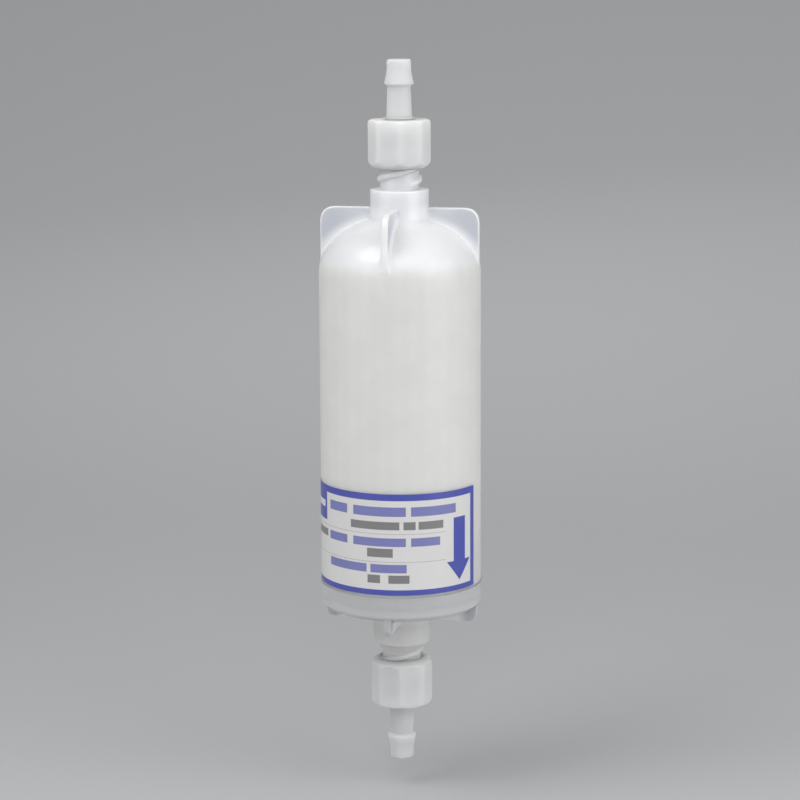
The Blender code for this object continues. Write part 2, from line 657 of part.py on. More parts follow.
def main():
    clear_scene()
    shell = plastic("translucent_shell", (0.80, 0.80, 0.79), 0.32, 0.55)
    fitting_white = plastic("moulded_white", (0.84, 0.84, 0.83), 0.38)
    print_white = plastic("label_film", (0.86, 0.87, 0.88), 0.30)
    media = plastic("filter_media", (0.82, 0.82, 0.78), 0.85)
    inner_plastic = plastic("cartridge_plastic", (0.78, 0.78, 0.76), 0.50)
    inlet = port_frame("inlet_port", INLET_FACE, 0)
    outlet = port_frame("outlet_port", OUTLET_FACE, math.pi)
    housing_bowl(shell, inlet)
    end_cap(shell, outlet)
    label(print_white)
    fitting("inlet", fitting_white, inlet, INLET_BACK_OFF, FRONT_ANGLE)
    fitting("outlet", fitting_white, outlet, 0, -FRONT_ANGLE)
    pleated_media(media)
    slotted_tube("core_tube", inner_plastic, CORE_RADIUS, CORE_WALL, CORE_COLUMNS, CORE_ROWS)
    slotted_tube("outer_cage", inner_plastic, CAGE_RADIUS, CAGE_WALL, CAGE_COLUMNS, CAGE_ROWS)
    cartridge_top_cap(inner_plastic)
    cartridge_bottom_cap(inner_plastic)


main()
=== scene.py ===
"""Looks for the in-line ink filter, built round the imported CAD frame.

Shapes are worked out in millimetres, in the CAD's own frame, and scaled to metres as
each mesh is made. Heights of the ports and nuts are counted outwards from the collar.
"""
import math

import bpy
import numpy as np
from mathutils import Matrix, Vector


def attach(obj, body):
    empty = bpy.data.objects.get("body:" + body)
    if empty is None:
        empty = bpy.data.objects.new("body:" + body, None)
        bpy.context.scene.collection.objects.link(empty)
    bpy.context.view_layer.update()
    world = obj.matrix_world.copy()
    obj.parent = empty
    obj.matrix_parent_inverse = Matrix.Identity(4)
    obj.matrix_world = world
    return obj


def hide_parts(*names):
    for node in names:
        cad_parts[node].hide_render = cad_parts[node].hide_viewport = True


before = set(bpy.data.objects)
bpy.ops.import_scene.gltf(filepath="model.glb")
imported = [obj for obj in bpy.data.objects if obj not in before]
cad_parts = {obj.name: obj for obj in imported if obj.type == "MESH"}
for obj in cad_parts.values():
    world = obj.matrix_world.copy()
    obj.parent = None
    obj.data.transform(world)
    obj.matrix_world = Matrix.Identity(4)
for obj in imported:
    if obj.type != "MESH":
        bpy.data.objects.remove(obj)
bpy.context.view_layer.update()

MM = 0.001
TURN = 2 * math.pi

# Heights along the housing, in millimetres
OUTLET_FACE, INLET_FACE = 21.63, 102.2
SHOULDER, SEAM, DOME_START = 29.5, 33.0, 87.9
BOWL_END, CAP_SHELF, CAP_FLOOR, BOSS_TOP = 31.0, 30.7, 28.425, 31.0
DOME_RISE, INNER_DOME_RISE, CAP_RISE = 9.7, 8.2, 2.6

# Radii of the housing, and the gap left at the weld
HOUSING_RADIUS, INNER_RADIUS, REBATE_RADIUS = 14.1, 12.6, 13.4
CAP_RADIUS, CAP_REBATE_HIGH, CAP_REBATE_LOW = 14.08, 13.72, 13.7
WELD_RADIUS, WELD_GAP = 14.295, 0.01
COLLAR_RADIUS, DOME_FILLET, FILLET_LEAD = 5.1, 0.9, 0.1
BOSS_INNER, BOSS_OUTER = 4.9, 6.1

# Ports, with the taper that each barb plugs into
PORT_LENGTH, NECK_RADIUS, BORE_RADIUS = 8.8, 3.38, 1.25
SOCKET_MOUTH, SOCKET_FLOOR, TAPER_SLOPE, TAPER_CLEARANCE = 2.15, 1.6, 0.03, 0.15

# Threads: where they run, and how wide a ridge is at its root and on its crest
LEAD, STARTS, THREAD_RUN_OUT = 5.0, 2, 0.5
THREAD_DEPTH, PORT_THREAD_SPAN, PORT_RIDGE = 0.53, (0.8, PORT_LENGTH - 0.7), (1.25, 0.5)
NUT_THREAD_DEPTH, NUT_THREAD_SPAN, NUT_RIDGE = 0.55, (1.1, 5.2), (1.5, 0.8)

# Nuts
NUT_SIDES, NUT_LENGTH, NUT_CORNER, NUT_SEAT_GAP = 8, 8.4, 5.53, 2.93
NUT_ROOT, NUT_POCKET, NUT_FACE_WALL, NUT_HOLE, NUT_MOUTH = 4.11, 6.1, 1.1, 2.62, 3.98
NUT_TOP = NUT_SEAT_GAP + NUT_LENGTH

# Directions, and how far the inlet nut has been turned back and drawn out
FRONT_ANGLE, NUT_THREAD_ANGLE = math.radians(-79.4), math.radians(130.6)
BACK_OFF = math.radians(46)
INLET_TRAVEL = LEAD * BACK_OFF / TURN

# Fins: half their thickness, how deep they sink into the wall, how far in from its side
# their edge lies, and how far inside the outline their middle line starts
FIN_COUNT, FIN_HALF, FIN_SINK, FIN_INSET, FIN_START = 4, 0.55, 0.75, 0.08, 0.3

# Label
LABEL_RADIUS, LABEL_FILM, LABEL_LOW, LABEL_HIGH = 14.12, 0.06, 33.4, 51.2
LABEL_EDGE, LABEL_WRAP = math.radians(63), math.radians(250)

PLEATS = 32
FLOOR_DROP = 5.2

# Fineness of the meshes
BODY_COLUMNS, PORT_COLUMNS, BARB_COLUMNS = 176, 176, 96
PORT_THREAD_ROWS, NUT_THREAD_ROWS = 84, 60
FIN_MIDDLE_STEPS, FIN_WALL_STEPS = 30, 60

# Pieces of a rounded corner, and the most of a side that a rounding may take
ROUND_STEPS, ROUND_SHARE = 4, 0.45

# The bend from which an edge stays sharp, and how near two radii count as the same
SHARP_DEGREES, SAME_RADIUS = 38, 1e-4

# Milky polypropylene: how it bends light, and how far red, green and blue travel in it
MILKY = {"IOR": 1.47, "Subsurface_Radius": (1.0, 0.97, 0.92)}

# How steeply the print's edges change, for each millimetre
PRINT_SHARPNESS = 20.0

# Where the lamps point, in metres
LAMP_AIM = (0, 0, 0.065)


def in_scene(name, mesh, sharp_degrees=SHARP_DEGREES):
    """An object for a mesh, shaded smooth apart from its sharp bends."""
    mesh.shade_smooth()
    mesh.set_sharp_from_angle(angle=math.radians(sharp_degrees))
    piece = bpy.data.objects.new(name, mesh)
    bpy.context.scene.collection.objects.link(piece)
    return piece


def mesh_object(name, points, faces, sharp_degrees=SHARP_DEGREES):
    """A mesh piece from points in millimetres."""
    mesh = bpy.data.meshes.new(name)
    mesh.from_pydata((np.asarray(points) * MM).tolist(), [], np.asarray(faces).tolist())
    mesh.validate()
    return in_scene(name, mesh, sharp_degrees)


def torus_faces(rows, columns):
    """Quads of a grid whose rows and columns both close on themselves."""
    row, column = np.meshgrid(np.arange(rows), np.arange(columns), indexing="ij")
    above, beside = (row + 1) % rows, (column + 1) % columns
    corners = ((row, column), (row, beside), (above, beside), (above, column))
    return np.stack([r * columns + c for r, c in corners], -1).reshape(-1, 4)


def double_sheet_faces(rows, columns):
    """Quads of two equal grids, one behind the other, and of the band that joins their rims."""
    index = np.arange(rows * columns).reshape(rows, columns)
    sheet = np.stack([index[:-1, :-1], index[:-1, 1:], index[1:, 1:], index[1:, :-1]], -1)
    sheet = sheet.reshape(-1, 4)
    rim = np.concatenate([index[:, 0], index[-1, 1:], index[-2::-1, -1], index[0, -2:0:-1]])
    beside = np.roll(rim, -1)
    band = np.stack([rim, rim + index.size, beside + index.size, beside], -1)
    return sheet[:, ::-1], sheet + index.size, band


def bend(start, corner, end, t):
    """The point at share t of the curve that rounds a corner."""
    return start * (1 - t) ** 2 + 2 * t * (1 - t) * corner + end * t ** 2


def soften(corners, columns):
    """A closed profile with its corners rounded, once for each column.

    A corner is (radius, height, rounding, pieces). Radius and height may be one number or
    one for each column, and pieces says into how many the side after it is cut.
    """
    points = np.array([[np.broadcast_to(value, columns) for value in corner[:2]]
                       for corner in corners], float).transpose(0, 2, 1)
    bends = []
    for i, corner in enumerate(corners):
        sides = [points[i - 1] - points[i], points[(i + 1) % len(corners)] - points[i]]
        lengths = [np.linalg.norm(side, axis=-1, keepdims=True) for side in sides]
        trim = np.minimum(corner[2], ROUND_SHARE * np.minimum(*lengths))
        start, end = (points[i] + side / length * trim for side, length in zip(sides, lengths))
        steps = np.linspace(0, 1, ROUND_STEPS + 1) if corner[2] else [0.5]
        bends.append([bend(start, points[i], end, t) for t in steps])
    rows = []
    for i, corner in enumerate(corners):
        rows += bends[i]
        first, last = bends[i][-1], bends[(i + 1) % len(corners)][0]
        rows += [first + (last - first) * k / corner[3] for k in range(1, corner[3])]
    return np.array(rows)


def lathe(name, corners, angles, shift=None):
    """The profile carried round Z, with a shift of the radius for threads."""
    profile = soften(corners, len(angles))
    radius, height = profile[..., 0], profile[..., 1]
    if shift:
        radius = radius + shift(radius, height, angles)
    points = np.stack([radius * np.cos(angles), radius * np.sin(angles), height], -1)
    return mesh_object(name, points.reshape(-1, 3), torus_faces(*radius.shape))


def even_angles(columns):
    """Angles that divide a whole turn evenly."""
    return np.arange(columns) * TURN / columns


def ellipse_corners(radius, rise, base, inner, steps, outwards=False):
    """Profile corners on a quarter ellipse, from its widest place in to the inner radius."""
    angles = np.linspace(0, math.acos(inner / radius), steps + 1)
    corners = [(radius * math.cos(a), base + rise * math.sin(a), 0, 1) for a in angles]
    return corners[::-1] if outwards else corners


def fillet_rise(radius, rise):
    """How far a dome has risen where the fillet of its collar begins."""
    return rise * math.sqrt(1 - ((COLLAR_RADIUS + FILLET_LEAD) / radius) ** 2)


def ridge(angle, height, start_angle, span, widths):
    """How far up the thread's flank each point is, from 0 between ridges to 1 on a crest."""
    pitch = LEAD / STARTS
    offset = height - LEAD * (angle - start_angle) / TURN
    aside = offset - pitch * np.round(offset / pitch)
    centre = height - aside
    run_out = np.clip(np.minimum(centre - span[0], span[1] - centre) / THREAD_RUN_OUT, 0, 1)
    root, crest = widths
    flank = np.clip((root - 2 * np.abs(aside)) / (root - crest), 0, 1)
    return run_out * flank * flank * (3 - 2 * flank)


def port_thread(face, outward, nut_angle):
    """The shift of a port's neck, which carries the outside thread."""
    start = nut_angle + NUT_THREAD_ANGLE + TURN / (2 * STARTS) - TURN * NUT_SEAT_GAP / LEAD
    above_collar = 0.05

    def shift(radius, height, angles):
        local = outward * (height - face)
        rise = ridge(outward * angles, local, start, PORT_THREAD_SPAN, PORT_RIDGE)
        on_neck = (np.abs(radius - NECK_RADIUS) < SAME_RADIUS) & (local > above_collar)
        return THREAD_DEPTH * rise * on_neck

    return shift


def port_corners(face, outward):
    """Profile corners of a port, from its collar out to the mouth and back in to its bore."""
    socket = SOCKET_MOUTH - TAPER_SLOPE * (PORT_LENGTH - SOCKET_FLOOR)
    corners = [
        (COLLAR_RADIUS, 0, 0.25, 2),
        (NECK_RADIUS, 0, 0.15, PORT_THREAD_ROWS),
        (NECK_RADIUS, PORT_LENGTH, 0.3, 1),
        (SOCKET_MOUTH, PORT_LENGTH, 0.1, 4),
        (socket, SOCKET_FLOOR, 0, 1),
        (BORE_RADIUS, SOCKET_FLOOR, 0.1, 3),
    ]
    return [(radius, face + outward * height, *rest) for radius, height, *rest in corners]


def bowl_corners():
    """Profile corners of the bowl, up its outside from the weld and down its inside."""
    welded, flare_end = SEAM + WELD_GAP, LABEL_LOW - 0.1
    dome = ellipse_corners(HOUSING_RADIUS, DOME_RISE, DOME_START,
                           COLLAR_RADIUS + DOME_FILLET, steps=26)
    fillet_root = DOME_START + fillet_rise(HOUSING_RADIUS, DOME_RISE)
    inside = ellipse_corners(INNER_RADIUS, INNER_DOME_RISE, DOME_START, BORE_RADIUS,
                             steps=18, outwards=True)
    corners = [
        (REBATE_RADIUS, BOWL_END, 0.1, 2),
        (REBATE_RADIUS, welded, 0, 1),
        (WELD_RADIUS, welded, 0, 2),
        (HOUSING_RADIUS, flare_end, 0.1, 12),
    ]
    corners += dome[:-1] + [(COLLAR_RADIUS, fillet_root, DOME_FILLET, 3)]
    return corners + port_corners(INLET_FACE, 1) + inside + [(INNER_RADIUS, BOWL_END, 0.1, 1)]


def reversed_profile(corners):
    """The same profile taken the other way, with each side cut into as many pieces as before."""
    pieces = [corner[3] for corner in corners]
    pieces = pieces[-2::-1] + pieces[-1:]
    return [(*corner[:3], count) for corner, count in zip(corners[::-1], pieces)]


def cap_corners():
    """Profile corners of the end cap, with its port, its floor and the socket's boss."""
    dome = ellipse_corners(CAP_RADIUS, -CAP_RISE, SHOULDER, COLLAR_RADIUS + DOME_FILLET,
                           steps=22)
    fillet_root = SHOULDER - fillet_rise(CAP_RADIUS, CAP_RISE)
    floor = ellipse_corners(INNER_RADIUS, -CAP_RISE, CAP_SHELF, BOSS_OUTER,
                            steps=10, outwards=True)
    corners = [(CAP_REBATE_HIGH, SEAM, 0.1, 1), (WELD_RADIUS, SEAM, 0, 3)]
    corners += dome[:-1] + [(COLLAR_RADIUS, fillet_root, DOME_FILLET, 3)]
    corners += port_corners(OUTLET_FACE, -1)
    corners += [
        (BORE_RADIUS, CAP_FLOOR, 0.1, 1),
        (BOSS_INNER, CAP_FLOOR, 0, 2),
        (BOSS_INNER, BOSS_TOP, 0.1, 1),
        (BOSS_OUTER, BOSS_TOP, 0.1, 2),
    ]
    corners += floor + [(CAP_REBATE_LOW, CAP_SHELF, 0, 2)]
    return reversed_profile(corners)


def curve_points(corners, steps=1):
    """A fine open line through profile corners, with each rounding turned into a bend."""
    line = [np.array(corners[0][:2], float)]
    for before, corner, after in zip(corners, corners[1:], corners[2:]):
        here = np.array(corner[:2], float)
        if not corner[2]:
            line.append(here)
            continue
        sides = [np.array(other[:2], float) - here for other in (before, after)]
        start, end = (here + side / np.linalg.norm(side) * corner[2] for side in sides)
        line += [bend(start, here, end, t) for t in np.linspace(0, 1, steps + 1)]
    return np.array(line + [np.array(corners[-1][:2], float)])


def wall_line(corners, last):
    """An open line through profile corners, with none of them rounded, to a last point."""
    return curve_points([(radius, height, 0) for radius, height, *_ in corners] + [last])


def resample(line, count):
    """Evenly spaced points along a line."""
    length = np.concatenate([[0], np.cumsum(np.linalg.norm(np.diff(line, axis=0), axis=1))])
    places = np.linspace(0, length[-1], count)
    return np.stack([np.interp(places, length, line[:, k]) for k in (0, 1)], -1)


def distance_to(line, points):
    """The distance of each point from a line of many points."""
    starts, ends = line[:-1], line[1:]
    side = ends - starts
    offset = points[..., None, :] - starts
    t = np.clip((offset * side).sum(-1) / (side * side).sum(-1), 0, 1)
    return np.linalg.norm(offset - t[..., None] * side, axis=-1).min(-1)


def outside_dome(radius, rise, base):
    """A test of which points lie off a dome, past its base and clear of the collar."""
    def test(flat):
        across, along = flat[..., 0], (flat[..., 1] - base) / rise
        return (across > COLLAR_RADIUS) & (along > 0) & ((across / radius) ** 2 + along ** 2 > 1)

    return test


def fins(name, outline, middle, surface, is_outside, rim_columns):
    """Four fins as one mesh: rounded along their outline, with a fillet where they meet the wall.

    Each grid row runs from the outline in to the middle of the housing's wall. The first
    rim_columns of it take material slot 0 and the thin plate within them slot 1.
    """
    rows, columns = 64, 30
    edge_radius, fillet = 0.22, 0.45
    rim_shares, plate_start = (0, 0.006, 0.016, 0.03, 0.05), 0.08
    outer, inner = resample(outline, rows), resample(middle, rows)
    plate_shares = np.linspace(plate_start, 1, columns - len(rim_shares))
    share = np.concatenate([rim_shares, plate_shares])
    flat = outer[:, None] + (inner - outer)[:, None] * share[None, :, None]
    to_edge = distance_to(outline, flat)
    to_wall = distance_to(surface, flat)
    inset = np.clip(edge_radius - to_edge, 0, None)
    half = FIN_HALF - edge_radius + np.sqrt(edge_radius ** 2 - np.minimum(inset, edge_radius) ** 2)
    near = np.where(is_outside(flat), np.clip(fillet - to_wall, 0, None), fillet)
    half = half + fillet - np.sqrt(fillet ** 2 - near ** 2)
    near_side, far_side, band = double_sheet_faces(rows, columns)
    faces = np.concatenate([near_side, far_side, band])
    # Where the outline runs downwards, the quads are turned over to face outwards
    if outline[0, 1] > outline[-1, 1]:
        faces = faces[:, ::-1]
    plate = np.tile(np.arange(columns - 1) >= rim_columns, rows - 1)
    slots = np.concatenate([plate, plate, np.full(len(band), rim_columns == 0)]).astype(np.int32)
    points, quads = [], []
    for k in range(FIN_COUNT):
        cos, sin = math.cos(k * TURN / FIN_COUNT), math.sin(k * TURN / FIN_COUNT)
        for side in (-1, 1):
            radius, across, height = flat[..., 0], side * half, flat[..., 1]
            points.append(np.stack([radius * cos - across * sin, radius * sin + across * cos,
                                    height], -1).reshape(-1, 3))
        quads.append(faces + 2 * rows * columns * k)
    made = mesh_object(name, np.concatenate(points), np.concatenate(quads))
    made.data.polygons.foreach_set("material_index", np.tile(slots, FIN_COUNT))
    return made


def united(name, body, extra, materials):
    """Joins extra to body by an exact Boolean, as one plain mesh with both materials."""
    for piece in (body, extra):
        for material in materials:
            piece.data.materials.append(material)
    step = body.modifiers.new("union", "BOOLEAN")
    step.operation, step.solver, step.object = "UNION", "EXACT", extra
    bpy.context.view_layer.update()
    whole = bpy.data.meshes.new_from_object(
        body.evaluated_get(bpy.context.evaluated_depsgraph_get()))
    for item in (body, extra):
        bpy.data.objects.remove(item, do_unlink=True)
    whole.name = name
    return in_scene(name, whole)


def make_bowl(materials):
    """The barrel with its dome, its inlet port and its fins."""
    below_face, below_dome, corner_radius, wall_overrun = 3.1, 1.5, 2.75, 2
    top, low = INLET_FACE - below_face, DOME_START - below_dome
    root, sunk = COLLAR_RADIUS - FIN_SINK, HOUSING_RADIUS - FIN_SINK
    edge = HOUSING_RADIUS - FIN_INSET
    outline = curve_points([(root, top, 0), (edge, top, corner_radius), (edge, low, 0)],
                           steps=16)
    middle_dome = ellipse_corners(sunk, DOME_RISE - FIN_SINK, DOME_START, root,
                                  FIN_MIDDLE_STEPS, outwards=True)
    middle = wall_line([(root, top - FIN_START)] + middle_dome, (sunk, low))
    dome = ellipse_corners(HOUSING_RADIUS, DOME_RISE, DOME_START, COLLAR_RADIUS,
                           FIN_WALL_STEPS, outwards=True)
    surface = wall_line([(COLLAR_RADIUS, INLET_FACE)] + dome,
                        (HOUSING_RADIUS, low - wall_overrun))
    body = lathe("bowl_turned", bowl_corners(), even_angles(BODY_COLUMNS),
                 port_thread(INLET_FACE, 1, FRONT_ANGLE - BACK_OFF))
    extra = fins("bowl_fins", outline, middle, surface,
                 outside_dome(HOUSING_RADIUS, DOME_RISE, DOME_START), rim_columns=4)
    return united("bowl_shell", body, extra, materials)


def make_cap(materials):
    """The end cap with its skirt ring, its outlet port and its fins."""
    below_shoulder, corner_radius, tip_inset, wall_overrun = 3.9, 1.5, 0.5, 1
    low, high = SHOULDER - below_shoulder, SHOULDER + FIN_SINK
    root, sunk = COLLAR_RADIUS - FIN_SINK, CAP_RADIUS - FIN_SINK
    edge = CAP_RADIUS - FIN_INSET
    outline = curve_points([(root, low, 0), (edge - tip_inset, low, corner_radius),
                            (edge, high, 0)], steps=14)
    middle_dome = ellipse_corners(sunk, -CAP_RISE, high, root, FIN_MIDDLE_STEPS, outwards=True)
    middle = wall_line([(root, low + FIN_START)] + middle_dome, (sunk, high))
    dome = ellipse_corners(CAP_RADIUS, -CAP_RISE, SHOULDER, COLLAR_RADIUS,
                           FIN_WALL_STEPS, outwards=True)
    surface = wall_line([(COLLAR_RADIUS, OUTLET_FACE)] + dome,
                        (CAP_RADIUS, high + wall_overrun))
    body = lathe("cap_turned", cap_corners(), even_angles(BODY_COLUMNS),
                 port_thread(OUTLET_FACE, -1, -FRONT_ANGLE))
    extra = fins("cap_fins", outline, middle, surface,
                 outside_dome(CAP_RADIUS, -CAP_RISE, SHOULDER), rim_columns=0)
    return united("cap_shell", body, extra, materials)


def nut_outline(columns):
    """Angles and radii of the nut's outside, with slightly rounded corners."""
    edge_cut, bend_steps = 0.6, 6
    corner = np.array([[NUT_CORNER * math.cos(a), NUT_CORNER * math.sin(a)]
                       for a in even_angles(NUT_SIDES)])
    flat_steps = columns // NUT_SIDES - bend_steps
    points = []
    for i in range(NUT_SIDES):
        here, ahead = corner[i], corner[(i + 1) % NUT_SIDES]
        sides = [corner[i - 1] - here, ahead - here]
        start, end = (here + side / np.linalg.norm(side) * edge_cut for side in sides)
        points += [bend(start, here, end, t) for t in np.arange(bend_steps) / bend_steps]
        following = ahead + (here - ahead) / np.linalg.norm(here - ahead) * edge_cut
        points += [end + (following - end) * k / flat_steps for k in range(flat_steps)]
    points = np.array(points)
    return np.arctan2(points[:, 1], points[:, 0]), np.linalg.norm(points, axis=1)


def shoulder(radii, steps=7):
    """The round shoulder at a nut's open end: from the rim out to each column's side."""
    inset, rise, fine_steps = 1.45, 1.6, 200

    def out(t):
        return NUT_CORNER - inset * ((1 - t) ** 2 + t * (1 - t) / 2)

    shares = np.linspace(0, 1, fine_steps)
    end = np.interp(radii, out(shares), shares)
    places = [end * k / steps for k in range(steps + 1)]
    corners = [(out(t), rise * (t * (1 - t) / 2 + t ** 2), 0, 1) for t in places]
    return corners[:-1] + [(*corners[-1][:2], 0.25, 6)]


def make_nut(name, angle, port):
    """A lock nut: open end at its foot, thread in its middle, flange pocket and closed end."""
    chamfer, least_chamfer, flange_room = 0.45, 0.02, 3.55
    mouth_low, mouth_high = 0.2, 0.4
    angles, radii = nut_outline(PORT_COLUMNS)
    closed = np.clip(radii - NUT_CORNER + chamfer, least_chamfer, None)
    corners = [(NUT_MOUTH, 0, 0.03, 1)] + shoulder(radii) + [
        (radii, NUT_LENGTH - closed, 0.2, 1),
        (radii - closed, NUT_LENGTH, 0.2, 3),
        (NUT_HOLE, NUT_LENGTH, 0.12, 2),
        (NUT_HOLE, NUT_LENGTH - NUT_FACE_WALL, 0.05, 2),
        (flange_room, NUT_LENGTH - NUT_FACE_WALL, 0.05, 3),
        (flange_room, NUT_POCKET, 0, 1),
        (NUT_ROOT, NUT_POCKET, 0.05, NUT_THREAD_ROWS),
        (NUT_ROOT, mouth_high, 0.1, 1),
        (NUT_MOUTH, mouth_low, 0.03, 1),
    ]

    def shift(radius, height, angles):
        rise = ridge(angles, height, NUT_THREAD_ANGLE, NUT_THREAD_SPAN, NUT_RIDGE)
        return -NUT_THREAD_DEPTH * rise * (np.abs(radius - NUT_ROOT) < SAME_RADIUS)

    nut = lathe(name, corners, angles, shift)
    nut.data.transform(port @ Matrix.Translation((0, 0, NUT_SEAT_GAP * MM))
                       @ Matrix.Rotation(angle, 4, "Z"))
    return nut


def make_barb(name, port):
    """A hose barb: taper in the port, flange in the nut, then flare, stem and ridge outside."""
    taper_end, flange_low, flange_high = 2.18, 9.18, 9.98
    flare, tip = NUT_TOP + 0.25, NUT_TOP + 10.3
    ridge_height = tip - 4.1
    flange_radius, hub_radius, flare_radius = 3.3, 2.37, 2.8
    stem_foot, stem_head, ridge_radius, tip_radius = 2.2, 2.0, 2.55, 2.07

    def taper(height):
        return SOCKET_MOUTH - TAPER_SLOPE * (PORT_LENGTH - height) - TAPER_CLEARANCE

    corners = [
        (BORE_RADIUS, taper_end, 0.1, 1),
        (taper(taper_end), taper_end, 0.15, 12),
        (taper(flange_low), flange_low, 0.12, 2),
        (flange_radius, flange_low, 0.12, 2),
        (flange_radius, flange_high, 0.12, 2),
        (hub_radius, flange_high, 0.1, 3),
        (hub_radius, flare, 0, 1),
        (flare_radius, flare, 0.08, 1),
        (flare_radius - 0.06, flare + 0.12, 0.08, 2),
        (stem_foot + 0.02, flare + 0.2, 0.28, 2),
        (stem_foot, flare + 0.6, 0.3, 8),
        (stem_head, ridge_height - 0.42, 0.12, 1),
        (ridge_radius, ridge_height - 0.05, 0.12, 10),
        (tip_radius + 0.01, tip - 1.8, 0.6, 3),
        (tip_radius, tip, 0.35, 2),
        (BORE_RADIUS, tip, 0.12, 14),
    ]
    barb = lathe(name, corners, even_angles(BARB_COLUMNS))
    barb.data.transform(port)
    return barb


def make_label():
    """The printed film, with its own measure for the print: millimetres round and up."""
    columns, rows, corner_steps, corner_radius = 220, 40, 8, 0.3
    inner, outer = LABEL_RADIUS, LABEL_RADIUS + LABEL_FILM
    first = LABEL_EDGE - LABEL_WRAP + FRONT_ANGLE
    rounded = corner_radius / inner
    corner = rounded * (1 - np.cos(np.linspace(0, TURN / 4, corner_steps)))
    straight = np.linspace(rounded, LABEL_WRAP - rounded, columns)[1:-1]
    turn = np.concatenate([corner, straight, LABEL_WRAP - corner[::-1]])
    along = np.minimum(turn, LABEL_WRAP - turn) * inner
    cut = np.clip(corner_radius - along, 0, corner_radius)
    inset = corner_radius - np.sqrt(corner_radius ** 2 - cut ** 2)
    share = np.linspace(0, 1, rows)[:, None]
    height = LABEL_LOW + inset + (LABEL_HIGH - LABEL_LOW - 2 * inset) * share
    angle = np.broadcast_to(first + turn, height.shape)
    sheets = [np.stack([radius * np.cos(angle), radius * np.sin(angle), height], -1)
              for radius in (inner, outer)]
    points = np.concatenate([sheet.reshape(-1, 3) for sheet in sheets])
    faces = np.concatenate(double_sheet_faces(*height.shape))
    label = mesh_object("label_film", points, faces)
    place = np.stack([np.tile((angle - FRONT_ANGLE).ravel() * inner, 2),
                      np.tile(height.ravel(), 2)], -1)
    layer = label.data.uv_layers.new(name="print")
    loops = np.zeros(len(label.data.loops), np.int32)
    label.data.loops.foreach_get("vertex_index", loops)
    layer.data.foreach_set("uv", place[loops].astype(np.float32).ravel())
    return label


def make_pleats():
    """The pleated pack: a closed band of round folds."""
    steps_per_fold, rows = 20, 12
    outer, inner, thick = 10.2, 4.9, 0.4
    low, high = 33.2, 88.1
    sharpness, flat_share = 0.985, 0.04
    angle = even_angles(PLEATS * steps_per_fold)
    fold = np.arccos(sharpness * np.cos(angle * PLEATS)) / math.acos(-sharpness)
    fold = np.clip((fold - flat_share) / (1 - 2 * flat_share), 0, 1)
    outside = outer - (outer - inner - thick) * fold
    inside = outside - thick

    def rings(radius, heights):
        return [np.stack([radius * np.cos(angle), radius * np.sin(angle),
                          np.full_like(angle, height)], -1) for height in heights]

    heights = np.linspace(low, high, rows)
    points = np.concatenate(rings(outside, heights) + rings(inside, heights[::-1]))
    return mesh_object("pleat_pack", points, torus_faces(2 * rows, len(angle)))


class Nodes:
    """A node tree, with short calls that add and join its nodes."""

    def __init__(self, tree):
        self.tree = tree

    def join(self, value, socket):
        """Links a node's output to a socket, or sets a plain value on it."""
        if isinstance(value, bpy.types.NodeSocket):
            self.tree.links.new(value, socket)
        else:
            socket.default_value = value

    def node(self, kind, *values, **settings):
        """Adds a node with its settings, and feeds its inputs in order."""
        made = self.tree.nodes.new("ShaderNode" + kind)
        for key, value in settings.items():
            setattr(made, key, value)
        for socket, value in zip(made.inputs, values):
            self.join(value, socket)
        return made

    def maths(self, operation, *values, clamp=False):
        """The result of one sum, kept between 0 and 1 if clamp is set."""
        return self.node("Math", *values, operation=operation, use_clamp=clamp).outputs[0]


class Looks(Nodes):
    """One material, with calls for its patterns and for the inputs of its shader."""

    def __init__(self, name, **shader_values):
        self.material = bpy.data.materials.new(name)
        self.material.use_nodes = True
        super().__init__(self.material.node_tree)
        self.shader = self.tree.nodes["Principled BSDF"]
        for socket, value in shader_values.items():
            self.shader.inputs[socket.replace("_", " ")].default_value = value

    def shade(self, socket, value):
        """Feeds one input of the shader."""
        self.join(value, self.shader.inputs[socket])

    def place(self):
        """The point on the piece, in millimetres."""
        spot = self.node("TexCoord").outputs["Object"]
        return self.node("VectorMath", spot, (1000, 1000, 1000), operation="MULTIPLY").outputs[0]

    def parts(self, vector):
        """The three numbers of a vector."""
        return self.node("SeparateXYZ", vector).outputs

    def length(self, vector):
        """How long a vector is."""
        return self.node("VectorMath", vector, operation="LENGTH").outputs["Value"]

    def noise(self, spot, size, detail=2.0, rough=0.5):
        """Soft random patches of about this size in millimetres, between 0 and 1."""
        made = self.node("TexNoise")
        self.join(spot, made.inputs["Vector"])
        made.inputs["Scale"].default_value = 1 / size
        made.inputs["Detail"].default_value = detail
        made.inputs["Roughness"].default_value = rough
        return made.outputs["Fac"]

    def ramp(self, value, start, end, at_start=0.0, at_end=1.0):
        """A smooth change while value goes from start to end, which may be the lower one."""
        made = self.node("MapRange", value, start, end, at_start, at_end)
        made.interpolation_type = "SMOOTHSTEP"
        return made.outputs[0]

    def mix(self, share, first, second):
        """The first colour where share is 0, going over to the second where it is 1."""
        made = self.node("Mix", data_type="RGBA")
        self.join(share, made.inputs[0])
        for value, socket in ((first, made.inputs[6]), (second, made.inputs[7])):
            self.join(value if isinstance(value, bpy.types.NodeSocket) else (*value, 1), socket)
        return made.outputs[2]

    def bump(self, height, distance, strength):
        """Fine relief, with its distance in millimetres."""
        made = self.node("Bump")
        made.inputs["Strength"].default_value = strength
        made.inputs["Distance"].default_value = distance * MM
        self.join(height, made.inputs["Height"])
        self.shade("Normal", made.outputs[0])


